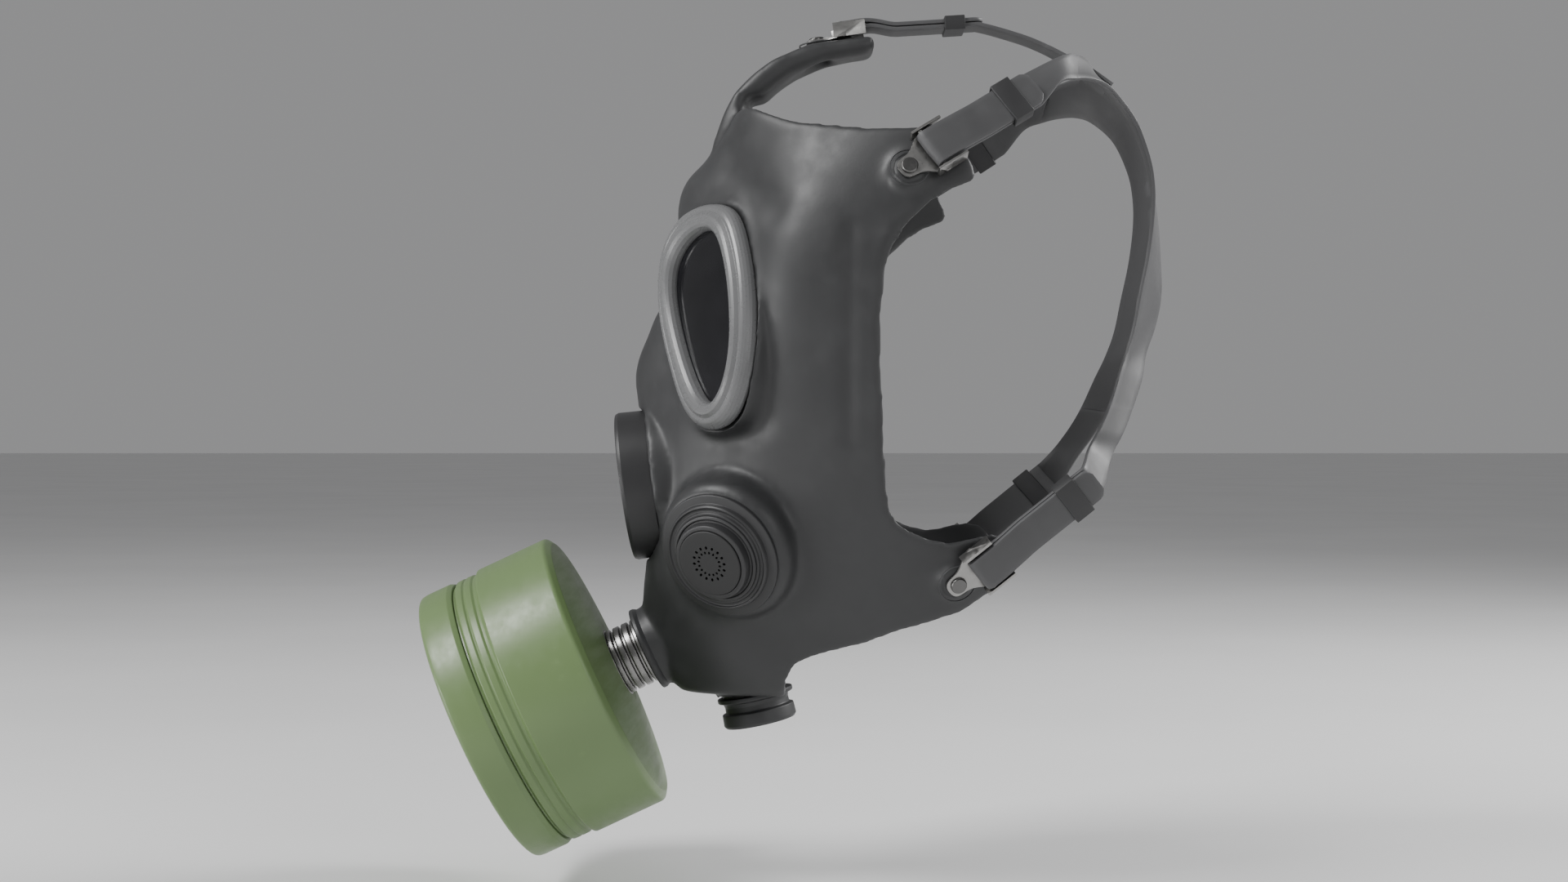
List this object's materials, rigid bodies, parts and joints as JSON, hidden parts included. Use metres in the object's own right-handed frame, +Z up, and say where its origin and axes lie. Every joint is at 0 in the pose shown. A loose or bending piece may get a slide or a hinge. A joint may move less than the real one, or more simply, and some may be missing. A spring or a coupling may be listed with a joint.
{
  "type": "full face respirator",
  "caption": "Moulded rubber full face respirator with twin lenses, drum filter on a threaded neck, valve ports and a buckled head harness.",
  "frame": {"origin": "centre of the face opening, on the symmetry plane, where the wearer's face sits", "axes": "the mask faces -Y, +Z is up, +X is the wearer's left"},
  "size_m": [0.1648, 0.2896, 0.3271],
  "materials": {
    "rubber": "matte moulded rubber",
    "strap_rubber": "matte strap rubber",
    "keeper_rubber": "dark matte rubber",
    "valve_rubber": "soft valve rubber",
    "rim_metal": "satin grey paint",
    "lens_glass": "dark tinted",
    "black_plastic": "matte",
    "thread_metal": "bare turned metal",
    "buckle_metal": "satin plated",
    "filter_paint": "matte sage green paint",
    "screen_metal": "perforated sheet",
    "carbon": "granular activated carbon of charred shell",
    "filter_paper": "pleated filter paper",
    "diaphragm_film": "thin film"
  },
  "bodies": {
    "facepiece": {"cheek_cap_left": "black_plastic", "cheek_cap_right": "black_plastic", "cheek_housing_left": "black_plastic", "cheek_housing_right": "black_plastic", "cheek_nuts": "black_plastic", "cheek_ring_left": "black_plastic", "cheek_ring_right": "black_plastic", "cup_seat_left": "black_plastic", "cup_seat_right": "black_plastic", "diaphragm_ring": "screen_metal", "face_blank": "rubber", "front_diaphragm": "diaphragm_film", "front_port_cover": "black_plastic", "front_port_housing": "black_plastic", "front_port_nut": "black_plastic", "head_harness": "strap_rubber", "inhale_seat": "black_plastic", "inlet_socket": "thread_metal", "lens_left": "lens_glass", "lens_retainer_left": "black_plastic", "lens_retainer_right": "black_plastic", "lens_right": "lens_glass", "lens_rim_left": "rim_metal", "lens_rim_right": "rim_metal", "nose_cup": "rubber", "outlet_clamp": "screen_metal", "outlet_housing": "black_plastic", "outlet_seat": "black_plastic", "rivet_washers": "buckle_metal", "rivets": "buckle_metal"},
    "inhale_valve": {"inhale_valve": "valve_rubber"},
    "exhale_valve": {"exhale_valve": "valve_rubber"},
    "cheek_valve_left": {"cheek_valve_left": "valve_rubber"},
    "cheek_valve_right": {"cheek_valve_right": "valve_rubber"},
    "cup_valve_left": {"cup_valve_left": "valve_rubber"},
    "cup_valve_right": {"cup_valve_right": "valve_rubber"},
    "gasket": {"neck_gasket": "keeper_rubber"},
    "filter": {"filter_can": "filter_paint", "filter_lid": "filter_paint", "filter_neck": "thread_metal", "carbon_bed": "carbon", "particulate_element": "filter_paper", "front_screen": "screen_metal", "rear_screen": "screen_metal", "intake_grille": "black_plastic"},
    "buckle_left_temple": {"buckle_left_temple": "buckle_metal", "strap_end_left_temple": "strap_rubber"},
    "keeper_left_temple": {"keeper_left_temple": "keeper_rubber"},
    "buckle_right_temple": {"buckle_right_temple": "buckle_metal", "strap_end_right_temple": "strap_rubber"},
    "keeper_right_temple": {"keeper_right_temple": "keeper_rubber"},
    "buckle_left_cheek": {"buckle_left_cheek": "buckle_metal", "strap_end_left_cheek": "strap_rubber"},
    "keeper_left_cheek": {"keeper_left_cheek": "keeper_rubber"},
    "buckle_right_cheek": {"buckle_right_cheek": "buckle_metal", "strap_end_right_cheek": "strap_rubber"},
    "keeper_right_cheek": {"keeper_right_cheek": "keeper_rubber"},
    "buckle_forehead": {"buckle_forehead": "buckle_metal", "strap_end_forehead": "strap_rubber"},
    "keeper_forehead": {"keeper_forehead": "keeper_rubber"}
  },
  "joints": [
    {"name": "inhale_valve_lift", "type": "slide", "parent": "facepiece", "child": "inhale_valve", "axis": [0, 0.9063, 0.4226], "range_m": [0, 0.002], "stiffness_N_per_m": 40},
    {"name": "exhale_valve_lift", "type": "slide", "parent": "facepiece", "child": "exhale_valve", "axis": [0, 0.208, -0.9781], "range_m": [0, 0.002], "stiffness_N_per_m": 40},
    {"name": "cheek_valve_left_lift", "type": "slide", "parent": "facepiece", "child": "cheek_valve_left", "axis": [0.8211, -0.4516, -0.349], "range_m": [0, 0.002], "stiffness_N_per_m": 40},
    {"name": "cheek_valve_right_lift", "type": "slide", "parent": "facepiece", "child": "cheek_valve_right", "axis": [-0.8211, -0.4516, -0.349], "range_m": [0, 0.002], "stiffness_N_per_m": 40},
    {"name": "cup_valve_left_lift", "type": "slide", "parent": "facepiece", "child": "cup_valve_left", "axis": [-0.836, 0.4099, 0.3649], "range_m": [0, 0.0015], "stiffness_N_per_m": 40},
    {"name": "cup_valve_right_lift", "type": "slide", "parent": "facepiece", "child": "cup_valve_right", "axis": [0.836, 0.4099, 0.3649], "range_m": [0, 0.0015], "stiffness_N_per_m": 40},
    {"name": "filter_travel", "type": "slide", "parent": "facepiece", "child": "gasket", "axis": [0, -0.9063, -0.4226], "range_m": [0, 0.01089]},
    {"name": "filter_unscrew", "type": "hinge", "parent": "gasket", "child": "filter", "pos_m": [0, -0.1085, -0.1092], "axis": [0, -0.9063, -0.4226], "range_deg": [0, 1080]},
    {"name": "buckle_left_temple_swivel", "type": "hinge", "parent": "facepiece", "child": "buckle_left_temple", "pos_m": [0.076, 0.0048, 0.077], "axis": [0.9308, 0.0304, 0.3642], "range_deg": [-8, 8]},
    {"name": "keeper_left_temple_slide", "type": "slide", "parent": "buckle_left_temple", "child": "keeper_left_temple", "axis": [-0.2302, 0.8227, 0.5197], "range_m": [-0.012, 0.004]},
    {"name": "buckle_right_temple_swivel", "type": "hinge", "parent": "facepiece", "child": "buckle_right_temple", "pos_m": [-0.076, 0.0048, 0.077], "axis": [-0.9308, 0.0304, 0.3642], "range_deg": [-8, 8]},
    {"name": "keeper_right_temple_slide", "type": "slide", "parent": "buckle_right_temple", "child": "keeper_right_temple", "axis": [0.2302, 0.8227, 0.5197], "range_m": [-0.012, 0.004]},
    {"name": "buckle_left_cheek_swivel", "type": "hinge", "parent": "facepiece", "child": "buckle_left_cheek", "pos_m": [0.0595, 0.0233, -0.073], "axis": [0.886, 0.2618, -0.3826], "range_deg": [-8, 8]},
    {"name": "keeper_left_cheek_slide", "type": "slide", "parent": "buckle_left_cheek", "child": "keeper_left_cheek", "axis": [0.0403, 0.7786, 0.6262], "range_m": [-0.018, 0.004]},
    {"name": "buckle_right_cheek_swivel", "type": "hinge", "parent": "facepiece", "child": "buckle_right_cheek", "pos_m": [-0.0595, 0.0233, -0.073], "axis": [-0.886, 0.2618, -0.3826], "range_deg": [-8, 8]},
    {"name": "keeper_right_cheek_slide", "type": "slide", "parent": "buckle_right_cheek", "child": "keeper_right_cheek", "axis": [-0.0403, 0.7786, 0.6262], "range_m": [-0.018, 0.004]},
    {"name": "buckle_forehead_swivel", "type": "hinge", "parent": "facepiece", "child": "buckle_forehead", "pos_m": [0, -0.027, 0.1348], "axis": [0, -0.1302, 0.9915], "range_deg": [-8, 8]},
    {"name": "keeper_forehead_slide", "type": "slide", "parent": "buckle_forehead", "child": "keeper_forehead", "axis": [0, 0.9982, 0.0607], "range_m": [-0.022, 0.004]}
  ],
  "couplings": [
    {"joint": "filter_travel", "follows": "filter_unscrew", "m_per_rad": 0.00057773}
  ]
}
